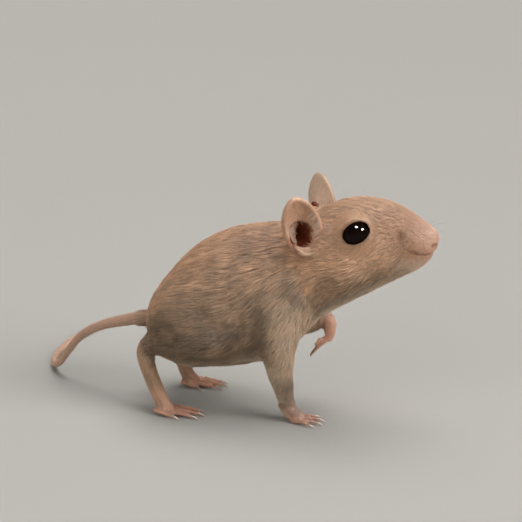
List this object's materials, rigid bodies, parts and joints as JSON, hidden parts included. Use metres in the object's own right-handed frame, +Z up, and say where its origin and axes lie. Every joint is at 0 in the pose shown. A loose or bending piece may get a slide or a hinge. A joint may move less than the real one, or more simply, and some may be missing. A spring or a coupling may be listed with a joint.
{
  "type": "gerbil",
  "caption": "Life-size young gerbil, head raised, one forepaw lifted and the other feet on the floor, with large ears and a long tail that curves down to the floor.",
  "frame": {"origin": "middle of the bounding box's length and width, on the floor", "axes": "+X towards the nose, +Y towards the animal's left side, +Z up"},
  "size_m": [0.1012, 0.0602, 0.0537],
  "materials": {
    "coat": "short soft fur, grey-brown with a warm cast, paler on throat and belly",
    "bare_skin": "thin pink skin under fine down",
    "eye": "wet and glossy, very dark ruby"
  },
  "bodies": {
    "root": {"torso": "coat", "neck": "coat", "head": "coat", "foreleg_right": "coat", "foreleg_left": "coat", "hindleg_right": "coat", "hindleg_left": "coat", "tail_root": "coat", "tail_middle": "coat", "tail_end": "coat", "ear_right": "bare_skin", "ear_left": "bare_skin", "forepaw_right": "bare_skin", "forepaw_left": "bare_skin", "hindfoot_right": "bare_skin", "hindfoot_left": "bare_skin", "eye_right": "eye", "eye_left": "eye"}
  },
  "joints": []
}
